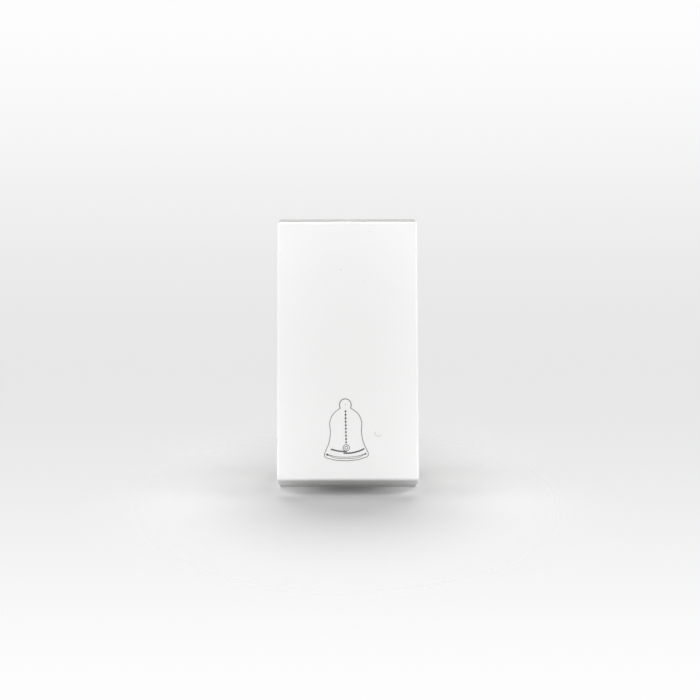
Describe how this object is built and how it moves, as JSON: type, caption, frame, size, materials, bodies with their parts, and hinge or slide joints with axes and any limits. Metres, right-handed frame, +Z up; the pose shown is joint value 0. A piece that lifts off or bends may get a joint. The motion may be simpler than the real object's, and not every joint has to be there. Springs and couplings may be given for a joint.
{
  "type": "doorbell push button",
  "caption": "One-module snap-in bell push: a tilted full-front key on trunnions works a sprung plunger and contact lever in a two-part housing with screw terminals.",
  "frame": {"origin": "middle of the seat plane at the back of the flange", "axes": "+X to the viewer's right, +Y back into the wall, +Z up; the key faces -Y"},
  "size_m": [0.024, 0.0326, 0.046],
  "materials": {
    "key_white": "satin moulded",
    "carrier_nylon": "moulded",
    "plunger_nylon": "moulded",
    "spring_steel": "drawn wire",
    "housing_white": "fine moulded",
    "base_grey": "fine moulded",
    "contact_copper": "stamped",
    "contact_silver": "satin",
    "strip_brass": "stamped",
    "screw_steel": "zinc plated"
  },
  "bodies": {
    "housing": {"front_frame": "housing_white", "rear_base": "base_grey", "contact_strip": "strip_brass", "fixed_contact": "contact_silver", "lever_bracket": "strip_brass", "upper_terminal": "strip_brass", "lower_terminal": "strip_brass", "upper_clamp_plate": "screw_steel", "lower_clamp_plate": "screw_steel", "upper_terminal_screw": "screw_steel", "lower_terminal_screw": "screw_steel", "return_spring": "spring_steel"},
    "rocker": {"key_cover": "key_white", "rocker_carrier": "carrier_nylon", "plunger_spring": "spring_steel"},
    "plunger": {"plunger": "plunger_nylon"},
    "contact_lever": {"contact_lever": "contact_copper", "moving_contact": "contact_silver"}
  },
  "joints": [
    {"name": "key_press", "type": "hinge", "parent": "housing", "child": "rocker", "pos_m": [0, -0.005, 0], "axis": [1, 0, 0], "range_deg": [0, 12.5], "stiffness_Nm_per_rad": 0.12, "springref_deg": -14.32, "deforming": ["return_spring"]},
    {"name": "plunger_slide", "type": "slide", "parent": "rocker", "child": "plunger", "axis": [0, -0.9903, 0.1392], "range_m": [0, 0.001], "stiffness_N_per_m": 400, "springref_m": -0.003, "deforming": ["plunger_spring"]},
    {"name": "lever_tip", "type": "hinge", "parent": "housing", "child": "contact_lever", "pos_m": [0, 0.00345, 0], "axis": [1, 0, 0], "range_deg": [-10, 0]}
  ],
  "couplings": [
    {"joint": "lever_tip", "follows": "key_press", "ratio": -0.8}
  ]
}
